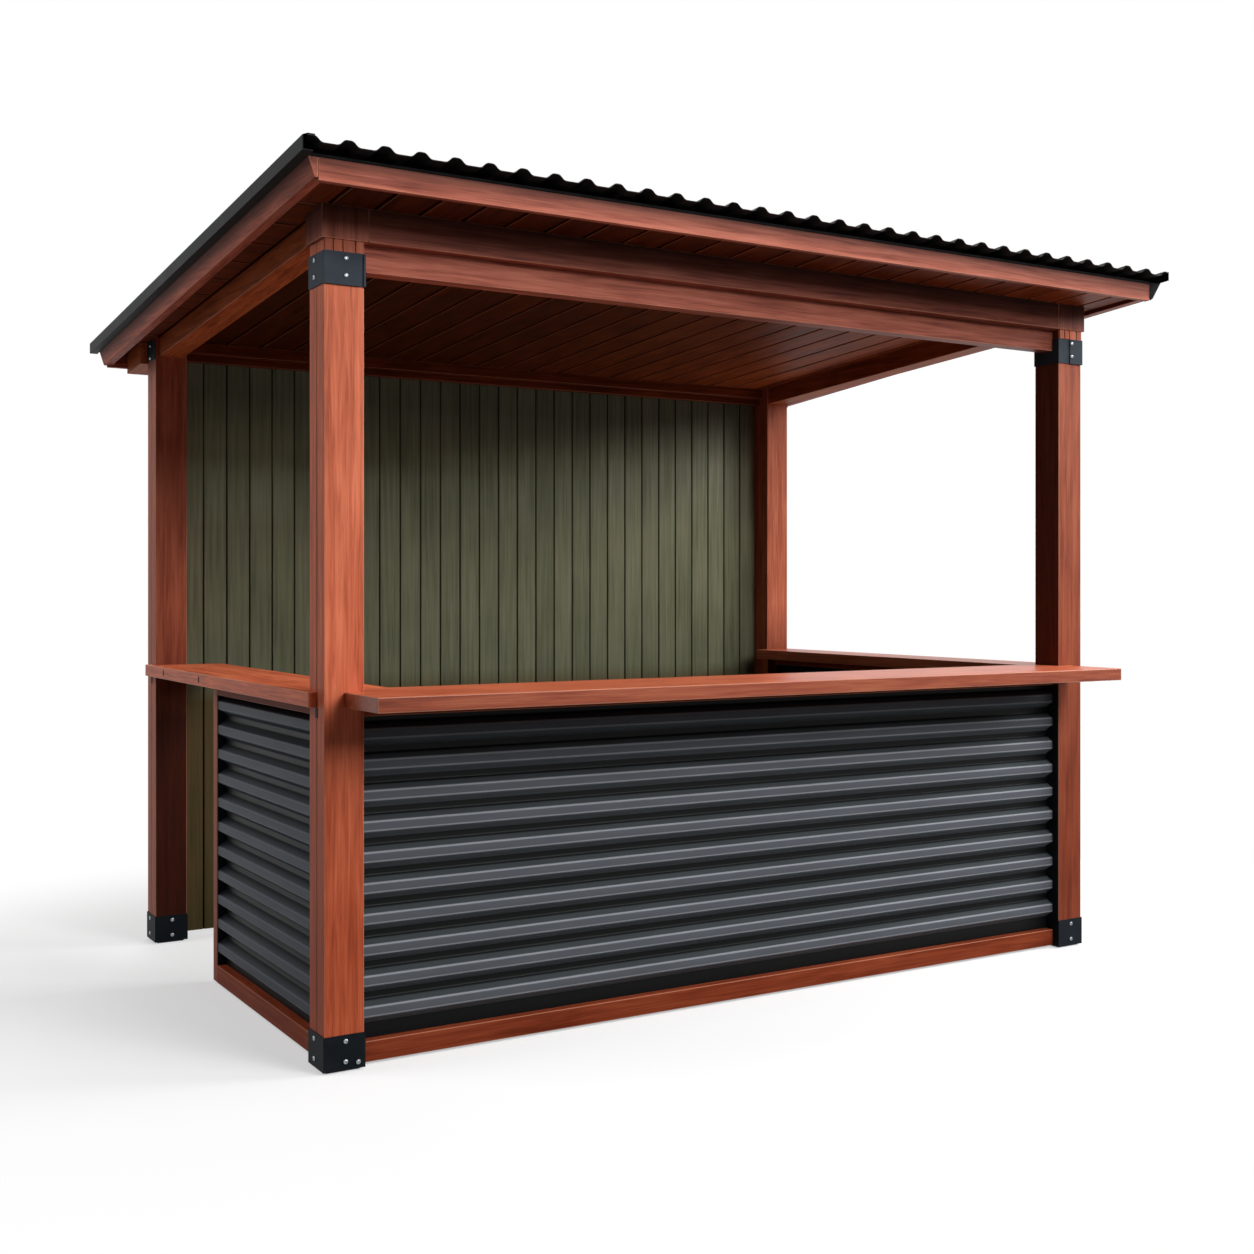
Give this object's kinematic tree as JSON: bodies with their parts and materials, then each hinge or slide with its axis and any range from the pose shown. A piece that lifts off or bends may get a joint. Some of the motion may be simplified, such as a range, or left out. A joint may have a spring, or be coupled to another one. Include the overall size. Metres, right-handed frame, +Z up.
{
  "type": "garden bar pavilion",
  "caption": "Timber garden bar pavilion with a lean-to corrugated roof, boarded back and a counter round the open sides over corrugated steel aprons.",
  "frame": {"origin": "on the ground, under the middle of the roof's outline", "axes": "+X to the right along the front counter, +Y from the front to the boarded back, +Z up"},
  "size_m": [3.374, 2.539, 2.5661],
  "materials": {
    "timber": "red-brown stain",
    "counter_timber": "red-brown satin varnish",
    "wall_boards": "olive green stain",
    "roof_steel": "black coated corrugated sheet",
    "trim_steel": "black coated folded trim",
    "panel_steel": "anthracite coated corrugated sheet",
    "bracket_steel": "black powder coat"
  },
  "bodies": {
    "root": {"back_wall": "wall_boards", "bargeboard_left": "timber", "bargeboard_right": "timber", "bottom_rail_front": "timber", "bottom_rail_left": "timber", "bottom_rail_right": "timber", "bracket_front_left": "bracket_steel", "bracket_front_right": "bracket_steel", "bracket_rear_left": "bracket_steel", "bracket_rear_right": "bracket_steel", "counter_front": "counter_timber", "counter_left": "counter_timber", "counter_right": "counter_timber", "drip_edge": "trim_steel", "end_stud": "timber", "fascia_front": "timber", "fascia_rear": "timber", "front_beam_lower": "timber", "front_beam_upper": "timber", "panel_front": "panel_steel", "panel_left": "panel_steel", "panel_right": "panel_steel", "post_cap_left": "timber", "post_cap_right": "timber", "post_front_left": "timber", "post_front_right": "timber", "post_rear_left": "timber", "post_rear_right": "timber", "rear_beam": "timber", "roof_batten_1": "timber", "roof_batten_2": "timber", "roof_batten_3": "timber", "roof_deck": "timber", "roof_sheet": "roof_steel", "shoe_front_left": "bracket_steel", "shoe_front_right": "bracket_steel", "shoe_rear_left": "bracket_steel", "shoe_rear_right": "bracket_steel", "side_beam_left": "timber", "side_beam_right": "timber", "top_rail_front": "timber", "top_rail_left": "timber", "top_rail_right": "timber", "verge_trim_left": "trim_steel", "verge_trim_right": "trim_steel", "wall_rail": "timber"}
  },
  "joints": []
}
